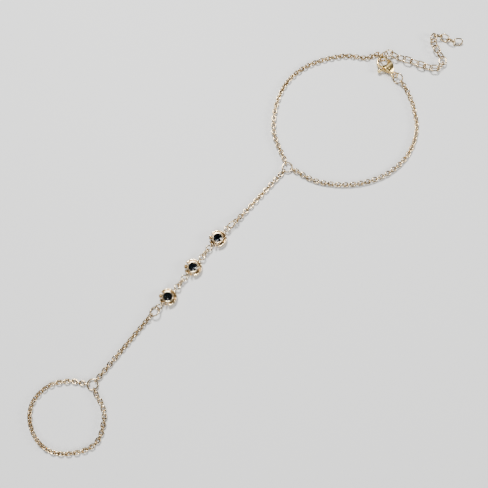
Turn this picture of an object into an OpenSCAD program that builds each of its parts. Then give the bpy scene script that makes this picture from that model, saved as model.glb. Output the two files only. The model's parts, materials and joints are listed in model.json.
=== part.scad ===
// Hand chain: a wrist chain and a finger chain, joined over the back of the hand
// by a chain that carries three crown-set stones. It lies flat, as on a table.
// X runs from the finger chain to the wrist chain and Z points up.

/* [Fine chain] */
// Diameter of the wire that the fine links are bent from
wire = 0.45; // [0.38:0.01:0.46]
// Outer length of one fine link
link_len = 2.32; // [2.26:0.01:2.4]
// Outer width of one fine link
link_wid = 1.8; // [1.76:0.01:1.9]
// Free room between two pieces of wire that hook into each other
play = 0.1; // [0.08:0.01:0.11]
// Number of fine links between the upper station ring and the wrist ring
upper_links = 20; // [16:1:23]
// Number of fine links between the lower station ring and the finger ring
lower_links = 22; // [18:1:25]
// Share of its full length that a straight stretch keeps as it lies loose
drape = 0.978; // [0.96:0.002:1]
// Number of fine links between two stone settings
station_links = 2; // [2:1:3]

/* [Jump rings] */
// Outer diameter of the jump rings
ring_od = 4; // [3.9:0.05:4.2]
// Diameter of the jump rings' wire
ring_wire = 0.5; // [0.42:0.01:0.52]

/* [Stone settings] */
// Outer diameter of the band around a setting
setting_d = 6.2; // [6:0.1:6.6]
// Thickness of that band
band_t = 0.7; // [0.6:0.05:0.75]
// Height of the band and of the two soldered loops above the base
band_z = 1.5; // [1.4:0.05:1.7]
// Outer diameter of the raised cup that holds the stone
cup_d = 3.9; // [3.7:0.05:4]
// Thickness of the cup's wall beside the stone
cup_wall = 0.48; // [0.44:0.01:0.52]
// Height of the cup above the base
cup_h = 2.6; // [2.4:0.05:2.8]
// Diameter of the setting's foot
foot_d = 4.6; // [4.2:0.1:4.8]
// Diameter of the open back under the stone
back_d = 2; // [1.6:0.1:2.2]
// Number of teeth on the closed part of the band
teeth = 10; // [8:1:11]
// Diameter of one tooth at its foot
tooth_d = 0.6; // [0.5:0.05:0.7]
// Outer diameter of a soldered loop
loop_od = 2.4; // [2.3:0.02:2.5]
// Wire diameter of a soldered loop
loop_wire = 0.5; // [0.44:0.01:0.52]
// Length of the solder bridge between the band and a loop
bridge = 0.35; // [0.25:0.05:0.5]
// Width of the solder where it meets the band
solder_d = 0.9; // [0.6:0.05:1]
// Length of the free claws
claw_len = 1.1; // [0.9:0.05:1.3]
// Diameter of a free claw at its foot
claw_foot = 0.65; // [0.6:0.05:0.8]

/* [Stones] */
// Height of the stone above its girdle
crown_h = 0.5; // [0.4:0.05:0.6]
// Depth of the stone below its girdle
pavilion_h = 1.05; // [0.9:0.05:1.2]
// Diameter of the flat table on top of the stone
table_d = 1.55; // [1.4:0.05:1.7]
// Free room between the stone and its cup
stone_gap = 0.05; // [0.04:0.01:0.06]

/* [Clasp] */
// Length of the clasp from its tail loop to the tip of its claw
clasp_len = 10; // [9.8:0.1:10.6]
// Thickness of the clasp's body
clasp_t = 2.7; // [2.6:0.05:2.9]
// Outer diameter of the claw
claw_d = 4.7; // [4.6:0.05:4.8]
// Thickness of the claw's wire
claw_wire = 0.8; // [0.7:0.02:0.84]
// Outer diameter of the tail loop
tail_od = 2.6; // [2.55:0.02:2.7]
// Wire diameter of the tail loop
tail_wire = 0.5; // [0.44:0.01:0.52]
// Thickness of the lever
lever_t = 0.8; // [0.7:0.05:0.9]
// Diameter of the lever's hub
hub_d = 1.6; // [1.5:0.05:1.7]
// Diameter of the thumb knob
knob_d = 1.5; // [1.3:0.05:1.6]
// Diameter of the hinge pin
pin_d = 0.7; // [0.6:0.02:0.76]
// Running clearance between the pin and the lever's bore, on the radius
pin_gap = 0.05; // [0.03:0.01:0.08]
// Gap between the lever and the body around it
lever_gap = 0.1; // [0.08:0.01:0.12]

/* [Extension chain] */
// Diameter of the wire of the extension links
ext_wire = 0.5; // [0.46:0.01:0.55]
// Outer length of one extension link
ext_len = 3.75; // [3.6:0.05:3.9]
// Outer width of one extension link
ext_wid = 2.9; // [2.8:0.05:3]

/* [Hidden] */

// Way that each stretch of the hand chain points, in degrees from X
upper_dir = -2;
lower_dir = 1.45;
// Way that each setting points, that the links between them run, and that the two rings lie
station_dir = [0, 1.65, -1];
between_dir = [6, 7];
upper_yaw = -8;
lower_yaw = -4.4;
// How far each jump ring and each soldered loop is rolled about the pull of the chain
upper_roll = 74;
lower_roll = -32;
clasp_roll = 44;
end_roll = -52;
loop_roll = 20;
// How far its soldered loop holds the lower station ring up
lower_lift = 0.3;

// Route of the left half of the wrist chain, from the wrist ring's centre
LEFT = [[4.2, 8], [7.2, 12.5], [15, 18], [23.8, 20.8], [32.6, 19.9], [40.1, 16.3], [46.3, 11.4],
    [49.3, 7], [50.4, 5.3]];
// Route of the right half, from the wrist ring's centre
RIGHT = [[2, -8.4], [3.8, -12.9], [8.6, -19.6], [15, -25], [22.7, -28.4], [31.8, -29], [40.6, -25.8],
    [46.6, -19.8], [49.2, -15.8]];
// Route of the finger chain, from the finger ring's centre
FINGER = [[-4, 6.4], [-10, 10.7], [-18.2, 10.6], [-23.9, 4.6], [-24.7, -3.7], [-20.1, -10.3],
    [-12.9, -13.7], [-5.6, -10.5], [-2.8, -7]];
// Route of the extension chain, from the wrist ring's centre
EXTENSION = [[57.7, -3.2], [59.4, -6.5], [61.1, -11.2], [62.4, -14.8], [65.2, -17.4], [68.4, -15.6],
    [69.2, -12.9], [70.4, -10.7], [71.4, -8.6], [73.3, -7.9], [74.8, -9.6], [75.3, -12], [75.9, -14.2],
    [77, -16], [78.4, -17.4]];
// Place of the clasp's tail loop from the wrist ring's centre, and the way that the clasp points
clasp_at = [51.75, -6.7];
clasp_dir = 81;

function dir(a) = [cos(a), sin(a)];
function last(v) = v[len(v) - 1];
function wrap(a) = a - 180 * round(a / 180);
function up(p, z) = [p[0], p[1], z];

// Curve through a route, and the length along it
function unit(v) = v / norm(v);
function bend(a, b, c, d, t) = let (m = norm(c - b) * unit(c - a), n = norm(c - b) * unit(d - b))
    (2 * t * t * t - 3 * t * t + 1) * b + (t * t * t - 2 * t * t + t) * m
    + (3 * t * t - 2 * t * t * t) * c + (t * t * t - t * t) * n;
function curve(P, k = 12) = concat(
    [P[0] - lead * unit(P[1] - P[0])],
    [for (i = [0 : len(P) - 2], j = [0 : k - 1])
        bend(P[max(i - 1, 0)], P[i], P[i + 1], P[min(i + 2, len(P) - 1)], j / k)],
    [last(P), last(P) + lead * unit(last(P) - P[len(P) - 2])]);
function along(Q) = [for (i = 0, s = 0; i < len(Q);
    s = s + (i + 1 < len(Q) ? norm(Q[i + 1] - Q[i]) : 0), i = i + 1) s];

// A kind of link: its wire, and the half length and half width of its centre line
function kind(w, l, b) = [w, (l - w) / 2, (b - w) / 2];
fine = kind(wire, link_len, link_wid);
ext = kind(ext_wire, ext_len, ext_wid);
// Longest pitch of two links, and the reach from a held wire to the first link's centre
function pitch(k) = 2 * k[1] - k[0] - play;
function reach(k, held) = k[1] - (k[0] + held) / 2 - play;
// Length between the two held wires of a straight run of n links
function run(k, n, held_a, held_b) = reach(k, held_a) + reach(k, held_b) + (n - 1) * pitch(k) * drape;
// Height of a link's centre when it rests, rolled by an angle
function stand(k, roll) = k[2] * max(abs(sin(roll)), abs(cos(roll))) + k[0] / 2;

// Links along a route: held is the wire at each end, 0 for a free end; z is the height of
// each held end and side the way of the wire there, or the roll of that link. Each link is
// given as a centre and an angle.
sway = 13;
waves = 1.5;
settle = 6;
slack = 0.1;
lead = 1.5;
function roll_at(side, d) = is_num(side)
    ? side
    : atan2(side[0] * d[1] - side[1] * d[0], side[2] * norm(d));
function links(k, P, held, z, side) =
    let (Q = curve(P),
        flat_s = along(Q),
        rise = [max(0, z[0] - stand(k, roll_at(side[0], Q[1] - Q[0]))),
            max(0, z[1] - stand(k, roll_at(side[1], last(Q) - Q[len(Q) - 2])))],
        h = [for (u = flat_s) lift(u - lead, last(flat_s) - 2 * lead, rise)],
        s = along([for (i = [0 : len(Q) - 1]) up(Q[i], h[i])]),
        total = last(s) - 2 * lead,
        tx = [for (i = [0 : len(Q) - 1]) [s[i] - lead, Q[i][0]]],
        ty = [for (i = [0 : len(Q) - 1]) [s[i] - lead, Q[i][1]]],
        tz = [for (i = [0 : len(Q) - 1]) [s[i] - lead, h[i]]],
        a = reach(k, held[0]),
        b = held[1] == 0 ? k[1] + k[0] / 2 : reach(k, held[1]),
        n = ceil((total - a - b) / pitch(k) - slack) + 1,
        p = (total - a - b) / (n - 1),
        joints = [for (i = [0 : n]) let (u = a + (i - 0.5) * p)
            [lookup(u, tx), lookup(u, ty), lookup(u, tz)]],
        first = roll_at(side[0], joints[1] - joints[0]),
        turn = wrap(roll_at(side[1], joints[n] - joints[n - 1]) - first - 90 * (n - 1)))
    [for (i = [0 : n - 1])
        let (d = joints[i + 1] - joints[i],
            u = i / (n - 1),
            roll = first + 90 * i + turn * u + sway * sin(360 * waves * u) * min(1, n / 12))
        [(joints[i] + joints[i + 1]) / 2 + [0, 0, stand(k, roll)],
            [roll, -atan2(d[2], norm([d[0], d[1]])), atan2(d[1], d[0])]]];
// Height that the two held ends add to a link at u
function fade(x) = x < settle ? pow(1 - x / settle, 2) : 0;
function lift(u, total, rise) = total < 2 * settle
    ? rise[0] + (rise[1] - rise[0]) * u / total
    : rise[0] * fade(u) + rise[1] * fade(total - u);

// A jump ring is [centre, yaw, roll]; these give a point of its wire, the way of the wire
// there, and the two points that a chain follows as it leaves the ring
ring_r = (ring_od - ring_wire) / 2;
function on_ring(g, t, r = ring_r) = g[0] + r * [
    cos(t) * cos(g[1]) - sin(t) * cos(g[2]) * sin(g[1]),
    cos(t) * sin(g[1]) + sin(t) * cos(g[2]) * cos(g[1]),
    sin(t) * sin(g[2])];
function way(g, t) = on_ring(g, t + 90, 1) - g[0];
function leave(g, t, out = 2, swing = 0) =
    let (a = flat(on_ring(g, t)), b = flat(on_ring(g, t, ring_r + 1)) - a)
    [a, a + out * dir(atan2(b[1], b[0]) + swing)];
function arrive(g, t, out = 2, swing = 0) = let (v = leave(g, t, out, swing)) [v[1], v[0]];
function flat(p) = [p[0], p[1]];
function ring_rest(roll) = ring_r * abs(sin(roll)) + ring_wire / 2;

// Stone settings, with the middle one at the origin of the layout
loop_r = (loop_od - loop_wire) / 2;
loop_x = setting_d / 2 + bridge + loop_od / 2;
station_gap = 2 * reach(fine, loop_wire) + (station_links - 1) * pitch(fine) - play;
station_arm = loop_x + loop_r;
function step(i) = station_arm * (dir(station_dir[i - 1]) + dir(station_dir[i]))
    + station_gap * dir(between_dir[i - 1]);
function station(i) = i == 1 ? -step(1) : i == 2 ? [0, 0] : step(2);
function loop_end(i, side, out = station_arm) = station(i) + side * out * dir(station_dir[i - 1]);

// Station rings: each passes through a loop and lies rolled beside it
ring_in = loop_r - (loop_wire + ring_wire) / 2 - 2.5 * play;
upper_c = loop_end(3, 1, loop_x + ring_in) + ring_r * dir(upper_yaw);
lower_c = loop_end(1, -1, loop_x + ring_in) - ring_r * dir(lower_yaw);
upper_ring = [up(upper_c, ring_rest(upper_roll)), upper_yaw, upper_roll];
lower_ring = [up(lower_c, ring_rest(lower_roll) + lower_lift), lower_yaw, lower_roll];

// The two flat rings where three chains meet
upper_run = run(fine, upper_links, ring_wire, ring_wire);
lower_run = run(fine, lower_links, ring_wire, ring_wire);
flat_z = stand(fine, 90);
wrist_c = upper_c + (2 * ring_r + upper_run) * dir(upper_dir);
finger_c = lower_c - (2 * ring_r + lower_run) * dir(lower_dir);
wrist_g = [up(wrist_c, flat_z), 0, 0];
finger_g = [up(finger_c, flat_z), 0, 0];

// Clasp frame: x points from the tail loop to the claw, z is 0 at half its thickness
clasp_c = wrist_c + clasp_at;
clasp_z = clasp_t / 2;
function from_clasp(p) = clasp_c + p[0] * dir(clasp_dir) + p[1] * dir(clasp_dir + 90);
tail_r = (tail_od - tail_wire) / 2;
claw_r = (claw_d - claw_wire) / 2;
eye = [clasp_len - (tail_od + claw_d) / 2, -0.1];
hinge = [3.1, 0.35];
lever_reach = 3.9;

// Ring in the clasp's tail, and the ring that hangs in its claw
clasp_g = [up(from_clasp([-ring_r, 0]), ring_rest(clasp_roll)), clasp_dir + 180, clasp_roll];
end_side = -50;
end_out = 2.05;
end_lift = 0.25;
end_c = from_clasp(eye + end_out * dir(end_side));
end_g = [up(end_c, ring_rest(end_roll) + end_lift), clasp_dir + end_side, end_roll];

// Where on the rings the chains hook, as angles, and the way that they leave
left_hook = 60;
right_hook = -72;
finger_hook = [123, -117];
end_low = 52;
end_high = -50;

function shift(P, c) = [for (p = P) p + c];

finger_links = links(fine,
    concat(leave(finger_g, finger_hook[0]), shift(FINGER, finger_c), arrive(finger_g, finger_hook[1])),
    [ring_wire, ring_wire], [flat_z, flat_z],
    [way(finger_g, finger_hook[0]), way(finger_g, finger_hook[1])]);
left_links = links(fine,
    concat(leave(wrist_g, left_hook), shift(LEFT, wrist_c), arrive(end_g, end_low, 1.5, 52)),
    [ring_wire, ring_wire], [flat_z, on_ring(end_g, end_low)[2]],
    [way(wrist_g, left_hook), way(end_g, end_low)]);
right_links = links(fine,
    concat(leave(wrist_g, right_hook), shift(RIGHT, wrist_c), arrive(clasp_g, 0)),
    [ring_wire, ring_wire], [flat_z, on_ring(clasp_g, 0)[2]],
    [way(wrist_g, right_hook), way(clasp_g, 0)]);
ext_links = links(ext,
    concat(leave(end_g, end_high, 1.2, -35), shift(EXTENSION, wrist_c)),
    [ring_wire, 0], [on_ring(end_g, end_high)[2], 0], [way(end_g, end_high), 45]);
upper_chain = links(fine,
    [flat(on_ring(upper_ring, 0)), wrist_c - ring_r * dir(upper_dir)],
    [ring_wire, ring_wire], [upper_ring[0][2], flat_z], [way(upper_ring, 0), 90]);
lower_chain = links(fine,
    [flat(on_ring(lower_ring, 180)), finger_c + ring_r * dir(lower_dir)],
    [ring_wire, ring_wire], [lower_ring[0][2], flat_z], [way(lower_ring, 180), 90]);
// Each pair of stations is joined by links that turn evenly from one loop to the next
half_turns = round((station_links + 1) / 2 - loop_roll / 90);
station_turn = (2 * loop_roll + 180 * half_turns) / (station_links + 1);
function between(i) = links(fine,
    [loop_end(i, 1), loop_end(i + 1, -1)],
    [loop_wire, loop_wire], [band_z, band_z],
    [station_turn - loop_roll, station_links * station_turn - loop_roll]);

// The part's origin is under the middle of its box
function span(L, i) = [min([for (l = L) l[0][i]]), max([for (l = L) l[0][i]])];
mid_x = (span(finger_links, 0)[0] + span(ext_links, 0)[1]) / 2;
mid_y = (span(right_links, 1)[0] + span(left_links, 1)[1]) / 2;
module place() {
    translate([-mid_x, -mid_y, 0]) children();
}

// One bent link, with its length along x
module half_bend(k) {
    rotate([0, 0, -90]) rotate_extrude(angle = 180, $fn = 24) translate([k[2], 0]) circle(d = k[0], $fn = 16);
}
module link(k) {
    side = k[1] - k[2];
    translate([side, 0, 0]) half_bend(k);
    translate([-side, 0, 0]) rotate([0, 0, 180]) half_bend(k);
    for (y = [-k[2], k[2]]) {
        translate([-side, y, 0]) rotate([0, 90, 0]) cylinder(d = k[0], h = 2 * side, $fn = 16);
    }
}
module chain(k, L) {
    place() for (l = L) translate(l[0]) rotate(l[1]) link(k);
}

// One round ring of wire
module torus(r, w) {
    rotate_extrude($fn = 48) translate([r, 0]) circle(d = w, $fn = 20);
}
module jump_ring(g) {
    place() translate(g[0]) rotate([g[2], 0, g[1]]) torus(ring_r, ring_wire);
}

// Setting: a cup with a toothed band around it and a loop soldered to each end
stone_r = cup_d / 2 - cup_wall;
girdle_t = 0.1;
girdle_z = cup_h - girdle_t - 0.14;
lip = 0.03;
band_r = (setting_d - band_t) / 2;
gaps = [100, 141, 192, 217];
gap_w = 0.5;
gap_l = (setting_d - cup_d) / 2;
claw_lean = 20;
module cup() {
    seat = stone_gap;
    drop = pavilion_h / (stone_r - girdle_t);
    under = girdle_z - 2 * seat;
    b = band_t / 2;
    rotate_extrude($fn = 72) polygon([
        [back_d / 2, 0],
        [foot_d / 2, 0],
        for (a = [-80 : 20 : 160]) [band_r + b * cos(a), band_z + b * sin(a)],
        [cup_d / 2 + 0.1, band_z - 0.1],
        [cup_d / 2, girdle_z],
        [cup_d / 2 - 0.04, cup_h - 0.1],
        [cup_d / 2 - 0.15, cup_h],
        [stone_r + 0.06, cup_h],
        [stone_r - lip, cup_h - 0.03],
        [stone_r + seat, girdle_z + girdle_t + seat],
        [stone_r + seat, under + drop * seat],
        [back_d / 2, under - drop * (stone_r - back_d / 2)]]);
}
module setting(i) {
    bridge_d = 0.8 * loop_wire;
    closed = 360 + gaps[0] - last(gaps);
    color("gold") place() translate(up(station(i), 0)) rotate([0, 0, station_dir[i - 1]]) difference() {
        union() {
            cup();
            for (j = [0 : teeth - 1]) rotate([0, 0, last(gaps) + (j + 0.5) * closed / teeth]) {
                translate([band_r + 0.08, 0, band_z - 0.35])
                    cylinder(d1 = tooth_d, d2 = 0.45 * tooth_d, h = 0.75, $fn = 36);
            }
            for (j = [0 : len(gaps) - 2]) rotate([0, 0, (gaps[j] + gaps[j + 1]) / 2]) {
                translate([band_r - 0.15, 0, band_z - 0.25]) rotate([0, claw_lean, 0])
                    cylinder(d1 = claw_foot, d2 = 0.7 * claw_foot, h = claw_len, $fn = 36);
            }
            for (side = [-1, 1]) {
                translate([side * loop_x, 0, band_z]) rotate([-side * loop_roll, 0, 0])
                    torus(loop_r, loop_wire);
                translate([side * band_r, 0, band_z]) rotate([0, side * 90, 0])
                    cylinder(d1 = solder_d, d2 = bridge_d, h = loop_x - loop_r - band_r, $fn = 36);
            }
        }
        for (a = gaps) rotate([0, 0, a]) translate([cup_d / 2 + 0.15, -gap_w / 2, -play]) {
            cube([gap_l, gap_w, band_z + band_t]);
        }
    }
}

// Brilliant-cut stone, table up
module stone(i) {
    star_r = 0.8 * stone_r;
    color("lightcyan") place() translate(up(station(i), girdle_z)) hull() {
        rotate([0, 0, 22.5]) cylinder(d = table_d, h = girdle_t + crown_h, $fn = 8);
        cylinder(r = star_r, h = girdle_t + 0.55 * crown_h, $fn = 8);
        cylinder(r = stone_r, h = girdle_t, $fn = 16);
        translate([0, 0, -pavilion_h]) cylinder(r = girdle_t, h = pavilion_h, $fn = 8);
    }
}

// Clasp: a body that narrows into a claw, with a tail loop and a slot for the lever
module at_clasp() {
    place() translate(up(clasp_c, clasp_z)) rotate([0, 0, clasp_dir]) children();
}
// Half widths of the body on the claw's side and on the lever's side, along the clasp
BODY = [[0.95, -0.34, 0.34], [1.5, -0.85, 0.6], [2.2, -1.45, 0.95], [3.2, -1.95, 1.3], [4.3, -2.2, 1.6],
    [5, -2.3, 1.62], [5.9, -2.28, 0]];
// Half thickness of the body along the clasp, as a share of its full thickness
THICK = [[0.9, 0.1], [1.5, 0.27], [2.3, 0.43], [3.3, 0.5], [4.2, 0.47], [5.2, 0.3], [6, 0.16]];
function smooth(P, k = 4) = concat([for (i = [0 : len(P) - 2], j = [0 : k - 1])
    bend(P[max(i - 1, 0)], P[i], P[i + 1], P[min(i + 2, len(P) - 1)], j / k)], [last(P)]);
module outline(rows, lo, hi) {
    polygon(concat(
        [for (r = rows) [r[0], r[lo]]],
        [for (i = [len(rows) - 1 : -1 : 0]) [rows[i][0], rows[i][hi]]]));
}
module bulk() {
    crest = 3;
    intersection() {
        translate([0, 0, -clasp_t]) linear_extrude(2 * clasp_t) outline(smooth(BODY), 1, 2);
        rotate([90, 0, 0]) translate([0, 0, -claw_d]) linear_extrude(2 * claw_d)
            outline([for (r = smooth(THICK)) [r[0], -r[1] * clasp_t, r[1] * clasp_t]], 1, 2);
        for (side = [-1, 1]) translate([0, -0.35, side * (crest - clasp_t / 2)]) rotate([0, 90, 0])
            cylinder(r = crest, h = clasp_len, $fn = 96);
    }
}
module claw() {
    translate(eye) rotate([0, 0, -140]) rotate_extrude(angle = 240, $fn = 72)
        translate([claw_r, 0]) circle(d = claw_wire, $fn = 24);
}
module slot() {
    h = lever_t + 2 * lever_gap;
    side = hub_d / 2 + lever_gap;
    translate([0, 0, -h / 2]) linear_extrude(h) {
        translate(hinge) circle(r = side, $fn = 48);
        polygon([
            hinge + [-side, 0],
            hinge + [-side, claw_d / 2],
            eye + [0, claw_d / 2],
            eye,
            hinge + [0, -side]]);
    }
}
module clasp_body() {
    color("goldenrod") at_clasp() {
        difference() {
            union() {
                difference() {
                    bulk();
                    translate(up(eye, -clasp_t))
                        cylinder(d = claw_d - 1.8 * claw_wire, h = 2 * clasp_t, $fn = 72);
                }
                claw();
                torus(tail_r, tail_wire);
            }
            slot();
            translate(up(hinge, -clasp_t)) cylinder(d = pin_d + pin_gap, h = 2 * clasp_t, $fn = 72);
            translate(up(hinge, -claw_wire)) intersection() {
                cylinder(r = lever_reach + lever_gap, h = 2 * claw_wire, $fn = 96);
                translate(eye - hinge) cube([claw_d, claw_d, 2 * claw_wire]);
            }
        }
    }
}
module clasp_pin() {
    color("darkgoldenrod") at_clasp() translate(up(hinge, -clasp_t / 2 + 0.12))
        cylinder(d = pin_d, h = clasp_t - 0.24, $fn = 72);
}

// Lever: a hub on the pin, the gate that closes the claw, and the thumb knob
module clasp_lever() {
    knob = [1.6, 2.75];
    arm_w = 0.6;
    // Distance from the eye, and angle, of the two corners where the gate's curve begins
    gate_root = [[2.15, 140], [1.75, 152]];
    gate_w = claw_wire - lever_gap;
    color("gold") at_clasp() difference() {
        union() {
            intersection() {
                union() {
                    translate(up(hinge, -lever_t / 2)) cylinder(d = hub_d, h = lever_t, $fn = 72);
                    translate([0, 0, -lever_t / 2]) linear_extrude(lever_t) {
                        polygon([
                            hinge + [-0.2, hub_d / 2 - 0.05],
                            for (g = gate_root) eye + g[0] * dir(g[1]),
                            hinge + [0.5, -0.55]]);
                        difference() {
                            translate(eye) circle(r = claw_r + gate_w / 2, $fn = 96);
                            translate(eye) circle(r = claw_r - gate_w / 2, $fn = 96);
                            translate(eye - [claw_d, claw_d]) square([2 * claw_d, claw_d + 1]);
                        }
                    }
                }
                translate(up(hinge, -lever_t)) cylinder(r = lever_reach, h = 2 * lever_t, $fn = 96);
            }
            translate(up(hinge, 0)) rotate([0, 0, atan2(knob[1], knob[0])])
                translate([0, -arm_w / 2, -lever_t / 2]) cube([norm(knob), arm_w, lever_t]);
            translate(up(hinge + knob, 0)) sphere(d = knob_d, $fn = 96);
        }
        translate(up(hinge, -lever_t)) cylinder(d = pin_d + 2 * pin_gap, h = 2 * lever_t, $fn = 72);
    }
}

module finger_chain() {
    color("burlywood") chain(fine, finger_links);
}
module hand_chain_lower() {
    color("burlywood") chain(fine, lower_chain);
}
module hand_chain_upper() {
    color("burlywood") chain(fine, upper_chain);
}
module wrist_chain_left() {
    color("burlywood") chain(fine, left_links);
}
module wrist_chain_right() {
    color("burlywood") chain(fine, right_links);
}
module extension_chain() {
    color("tan") chain(ext, ext_links);
}
module station_run(i) {
    color("burlywood") chain(fine, between(i));
}

finger_chain();
color("wheat") jump_ring(finger_g);  // finger_ring
hand_chain_lower();
color("wheat") jump_ring(lower_ring);  // station_ring_lower
setting(1);  // setting_1
stone(1);  // stone_1
station_run(1);  // station_links_1
setting(2);  // setting_2
stone(2);  // stone_2
station_run(2);  // station_links_2
setting(3);  // setting_3
stone(3);  // stone_3
color("wheat") jump_ring(upper_ring);  // station_ring_upper
hand_chain_upper();
color("wheat") jump_ring(wrist_g);  // wrist_ring
wrist_chain_left();
wrist_chain_right();
color("wheat") jump_ring(clasp_g);  // clasp_ring
clasp_body();
clasp_pin();
clasp_lever();
color("wheat") jump_ring(end_g);  // end_ring
extension_chain();
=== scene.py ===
# Looks for the hand chain: its plating and glass, the polished castings, the floor, light and camera.
import json
import math

import bpy
from mathutils import Matrix, Vector


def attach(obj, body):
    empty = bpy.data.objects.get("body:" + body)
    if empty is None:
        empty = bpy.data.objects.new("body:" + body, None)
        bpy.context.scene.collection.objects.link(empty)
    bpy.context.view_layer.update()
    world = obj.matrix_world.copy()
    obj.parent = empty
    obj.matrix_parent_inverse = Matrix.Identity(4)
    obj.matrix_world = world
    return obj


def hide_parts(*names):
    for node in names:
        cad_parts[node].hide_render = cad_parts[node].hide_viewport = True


MM = 0.001

# Plating: the colour where it is bright and where it is deep, how many patches of them to a metre, the
# roughness where it is glossy and where it is worn, and how strongly the wear stands out
CHAIN_PLATING = ((0.73, 0.57, 0.34), (0.42, 0.30, 0.16), 420, 0.12, 0.26, 0.3)
SETTING_PLATING = ((0.88, 0.72, 0.48), (0.56, 0.42, 0.25), 300, 0.12, 0.24, 0.3)
CLASP_PLATING = ((0.93, 0.72, 0.34), (0.74, 0.51, 0.18), 200, 0.16, 0.28, 0.2)
# The part of a noise's range over which one colour goes into the other, and gloss into wear
COLOUR_EDGES = (0.35, 0.65)
WEAR_EDGES = (0.3, 0.7)
PATCH_DETAIL = 3
WEAR_DETAIL = 4
WEAR_MARKS = 14000
WEAR_DEPTH = 0.003 * MM

# Glass of the stones: tinted dark blue-grey as painted shade, the look of a clear stone over a dark
# ground, with weak reflections
PAINTED_SHADE_TINT = (0.11, 0.145, 0.165)
GLASS_BENDING = 1.55
GLASS_REFLECTION = 0.15
GLASS_ROUGHNESS = 0.02

# Castings: how fine the skin is in mm, how many rounds of polishing, and the share of faces that is kept
SETTINGS = (1, 2, 3)
SETTING_POLISH = (0.05, 8, 0.4)
CLASP_BODY_POLISH = (0.05, 24, 0.4)
CLASP_LEVER_POLISH = (0.04, 4, 0.4)
POLISH_STRENGTH = 0.5
JOINED = 0.001 * MM
LONG_CHAINS = ("finger_chain", "wrist_chain_left", "wrist_chain_right")
LONG_CHAIN_KEEP = 0.6

# Floor and studio, in metres: the floor lies just under the lowest links
FLOOR_SIZE = 3
FLOOR_Z = -0.00005
FLOOR_COLOUR = (0.70, 0.70, 0.69)
FLOOR_ROUGHNESS = 0.6
ROOM_COLOUR = (0.9, 0.93, 1.0)
ROOM_LIGHT = 0.06
# Lamps: where each one stands and how wide it is, in metres, and its power in watts
LAMPS = {
    "key_light": ((0.18, 0.30, 0.62), 0.18, 10),
    "fill_light": ((-0.50, -0.20, 0.46), 0.36, 3),
    "rim_light": ((0.34, -0.46, 0.30), 0.18, 3),
}

# Camera: the photo looks down 12 degrees off straight above, with the finger chain at its lower left
TARGET = Vector((-6.96, -2.32, 0)) * MM
UP_ON_FLOOR = Vector((0.7545, 0.6563, 0))
LEAN = math.radians(12)
DISTANCE = 258.75 * MM
FILM = 36
FOCAL_PIXELS = 750
PHOTO_PIXELS = 488
NEAREST_SEEN = 10 * MM

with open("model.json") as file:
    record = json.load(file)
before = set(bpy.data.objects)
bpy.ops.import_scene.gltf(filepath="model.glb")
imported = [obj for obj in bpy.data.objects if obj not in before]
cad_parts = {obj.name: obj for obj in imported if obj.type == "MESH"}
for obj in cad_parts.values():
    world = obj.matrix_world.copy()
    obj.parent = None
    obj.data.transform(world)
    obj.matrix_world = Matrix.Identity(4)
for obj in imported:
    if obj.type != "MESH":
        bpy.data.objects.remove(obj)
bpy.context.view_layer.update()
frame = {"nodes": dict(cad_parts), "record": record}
nodes = frame["nodes"]


# Finishes

def socket(group, name, kind, into):
    group.interface.new_socket(name=name, in_out="INPUT" if into else "OUTPUT", socket_type=kind)


def noise(group, place, detail):
    """A cloudy noise that lies still on the piece."""
    cloud = group.nodes.new("ShaderNodeTexNoise")
    cloud.inputs["Detail"].default_value = detail
    group.links.new(place.outputs["Object"], cloud.inputs["Vector"])
    return cloud


def share(group, cloud, edges):
    """How far the noise has come from the first edge to the second."""
    part_way = group.nodes.new("ShaderNodeMapRange")
    part_way.inputs["From Min"].default_value = edges[0]
    part_way.inputs["From Max"].default_value = edges[1]
    group.links.new(cloud.outputs["Fac"], part_way.inputs["Value"])
    return part_way


def plating_wear():
    """Colour that drifts a little over the plating, and fine wear that makes it less glossy."""
    g = bpy.data.node_groups.new("plating_wear", "ShaderNodeTree")
    socket(g, "Bright", "NodeSocketColor", True)
    socket(g, "Deep", "NodeSocketColor", True)
    socket(g, "Patch size", "NodeSocketFloat", True)
    socket(g, "Gloss low", "NodeSocketFloat", True)
    socket(g, "Gloss high", "NodeSocketFloat", True)
    socket(g, "Colour", "NodeSocketColor", False)
    socket(g, "Roughness", "NodeSocketFloat", False)
    socket(g, "Height", "NodeSocketFloat", False)
    values = g.nodes.new("NodeGroupInput")
    results = g.nodes.new("NodeGroupOutput")
    place = g.nodes.new("ShaderNodeTexCoord")
    join = g.links.new

    patches = noise(g, place, PATCH_DETAIL)
    join(values.outputs["Patch size"], patches.inputs["Scale"])
    colour_share = share(g, patches, COLOUR_EDGES)
    mix = g.nodes.new("ShaderNodeMix")
    mix.data_type = "RGBA"
    join(colour_share.outputs["Result"], mix.inputs["Factor"])
    join(values.outputs["Bright"], mix.inputs["A"])
    join(values.outputs["Deep"], mix.inputs["B"])
    join(mix.outputs["Result"], results.inputs["Colour"])

    marks = noise(g, place, WEAR_DETAIL)
    marks.inputs["Scale"].default_value = WEAR_MARKS
    wear_share = share(g, marks, WEAR_EDGES)
    join(values.outputs["Gloss low"], wear_share.inputs["To Min"])
    join(values.outputs["Gloss high"], wear_share.inputs["To Max"])
    join(wear_share.outputs["Result"], results.inputs["Roughness"])
    join(marks.outputs["Fac"], results.inputs["Height"])
    return g


WEAR = plating_wear()


def shader_of(material):
    material.use_nodes = True
    return material.node_tree.nodes["Principled BSDF"]


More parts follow.
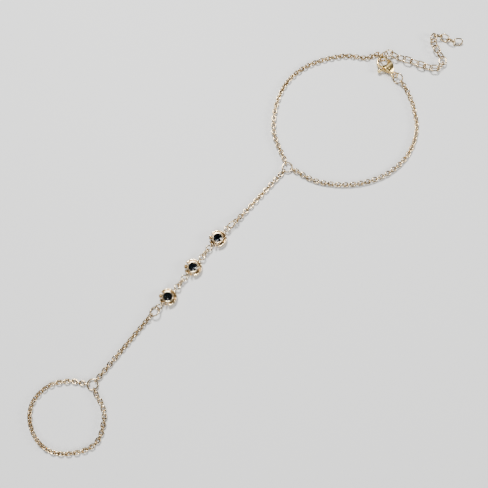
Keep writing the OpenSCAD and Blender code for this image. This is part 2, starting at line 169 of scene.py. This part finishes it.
def plating(name, bright, deep, patches, glossy, worn, relief):
    """Plated metal in two colours of gold, with its fine wear."""
    gold = bpy.data.materials.new(name)
    shader = shader_of(gold)
    shader.inputs["Metallic"].default_value = 1.0
    wear = gold.node_tree.nodes.new("ShaderNodeGroup")
    wear.node_tree = WEAR
    wear.inputs["Bright"].default_value = (*bright, 1)
    wear.inputs["Deep"].default_value = (*deep, 1)
    wear.inputs["Patch size"].default_value = patches
    wear.inputs["Gloss low"].default_value = glossy
    wear.inputs["Gloss high"].default_value = worn
    bump = gold.node_tree.nodes.new("ShaderNodeBump")
    bump.inputs["Strength"].default_value = relief
    bump.inputs["Distance"].default_value = WEAR_DEPTH
    join = gold.node_tree.links.new
    join(wear.outputs["Colour"], shader.inputs["Base Color"])
    join(wear.outputs["Roughness"], shader.inputs["Roughness"])
    join(wear.outputs["Height"], bump.inputs["Height"])
    join(bump.outputs["Normal"], shader.inputs["Normal"])
    return gold


def shade_tinted_glass():
    """Cut glass tinted dark blue-grey, a painted shade for a dark ground seen through a clear stone,
    that lets little light through.
    """
    glass = bpy.data.materials.new("shade_tinted_cut_glass")
    shader = shader_of(glass)
    # Painted shade: the dark blue-grey tint stands in for a dark ground seen through a clear stone
    shader.inputs["Base Color"].default_value = (*PAINTED_SHADE_TINT, 1)
    shader.inputs["Transmission Weight"].default_value = 1.0
    shader.inputs["IOR"].default_value = GLASS_BENDING
    shader.inputs["Specular IOR Level"].default_value = GLASS_REFLECTION
    shader.inputs["Roughness"].default_value = GLASS_ROUGHNESS
    return glass


FINISH = {
    "chain_metal": plating("chain_plating", *CHAIN_PLATING),
    "setting_metal": plating("setting_plating", *SETTING_PLATING),
    "clasp_metal": plating("clasp_plating", *CLASP_PLATING),
    "cut_glass": shade_tinted_glass(),
}
SLOT = {part["node"]: part["material_slot"] for part in frame["record"]["subparts"]}


def finished(ob, node):
    """Gives the piece the finish of its part, and no other."""
    ob.data.materials.clear()
    ob.data.materials.append(FINISH[SLOT[node]])


for node in SLOT:
    finished(nodes[node], node)


# Castings and long chains

def alone(ob):
    """Selects one object only and makes it the active one."""
    bpy.ops.object.select_all(action="DESELECT")
    ob.select_set(True)
    bpy.context.view_layer.objects.active = ob


def applied(ob, kind, **values):
    """Puts one modifier with these values on the piece and applies it."""
    m = ob.modifiers.new(kind.lower(), kind)
    for key, value in values.items():
        setattr(m, key, value)
    alone(ob)
    bpy.ops.object.modifier_apply(modifier=m.name)


def merged_copy(node, name):
    """A copy of a part with its faces joined into one skin."""
    ob = bpy.data.objects.new(name, nodes[node].data.copy())
    bpy.context.collection.objects.link(ob)
    alone(ob)
    bpy.ops.object.mode_set(mode="EDIT")
    bpy.ops.mesh.select_all(action="SELECT")
    bpy.ops.mesh.remove_doubles(threshold=JOINED)
    bpy.ops.object.mode_set(mode="OBJECT")
    return ob


def in_place_of(ob, node, body):
    """Shows the piece instead of the plain part, on the same body and in the same finish."""
    finished(ob, node)
    ob.data.shade_smooth()
    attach(ob, body)
    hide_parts(node)


def polished(node, body, grain, rounds, keep):
    """A cast piece with its edges and solder joints rounded over, as polishing leaves them."""
    ob = merged_copy(node, f"polished_{node}")
    applied(ob, "REMESH", mode="VOXEL", voxel_size=grain * MM)
    applied(ob, "SMOOTH", factor=POLISH_STRENGTH, iterations=rounds)
    applied(ob, "DECIMATE", ratio=keep)
    in_place_of(ob, node, body)


def lightened(node, body, keep):
    """A long chain with fewer faces round its wire, since it has more than fifty links."""
    ob = merged_copy(node, f"light_{node}")
    applied(ob, "DECIMATE", ratio=keep)
    in_place_of(ob, node, body)


for i in SETTINGS:
    polished(f"setting_{i}", "hand_chain", *SETTING_POLISH)
polished("clasp_body", "hand_chain", *CLASP_BODY_POLISH)
polished("clasp_lever", "clasp_lever", *CLASP_LEVER_POLISH)

for node in LONG_CHAINS:
    lightened(node, "hand_chain", LONG_CHAIN_KEEP)


# Floor, light and camera

def pale_floor():
    bpy.ops.object.select_all(action="DESELECT")
    bpy.ops.mesh.primitive_plane_add(size=FLOOR_SIZE, location=(0, 0, FLOOR_Z))
    floor = bpy.context.object
    floor.name = "floor"
    pale = bpy.data.materials.new("pale_floor")
    shader = shader_of(pale)
    shader.inputs["Base Color"].default_value = (*FLOOR_COLOUR, 1)
    shader.inputs["Roughness"].default_value = FLOOR_ROUGHNESS
    floor.data.materials.append(pale)


def room():
    world = bpy.data.worlds.new("studio")
    bpy.context.scene.world = world
    world.use_nodes = True
    background = world.node_tree.nodes["Background"]
    background.inputs["Color"].default_value = (*ROOM_COLOUR, 1)
    background.inputs["Strength"].default_value = ROOM_LIGHT


def lamp(name, place, size, power):
    """A square soft lamp that shines at the middle of the bracelet."""
    data = bpy.data.lights.new(name, "AREA")
    data.size = size
    data.energy = power
    ob = bpy.data.objects.new(name, data)
    bpy.context.collection.objects.link(ob)
    ob.location = place
    ob.rotation_euler = (-Vector(place)).to_track_quat("-Z", "Y").to_euler()


def camera():
    """Looks at the target from as far off straight above as the photo was taken."""
    data = bpy.data.cameras.new("camera")
    data.sensor_width = FILM
    data.lens = FILM * FOCAL_PIXELS / PHOTO_PIXELS
    data.clip_start = NEAREST_SEEN
    cam = bpy.data.objects.new("camera", data)
    bpy.context.collection.objects.link(cam)
    back = (Vector((0, 0, 1)) * math.cos(LEAN) - UP_ON_FLOOR * math.sin(LEAN)).normalized()
    up = (UP_ON_FLOOR - back * UP_ON_FLOOR.dot(back)).normalized()
    right = up.cross(back)
    eye = TARGET + DISTANCE * back
    cam.matrix_world = Matrix((
        (right.x, up.x, back.x, eye.x),
        (right.y, up.y, back.y, eye.y),
        (right.z, up.z, back.z, eye.z),
        (0, 0, 0, 1)))
    bpy.context.scene.camera = cam


pale_floor()
room()
for name, (place, size, power) in LAMPS.items():
    lamp(name, place, size, power)
camera()
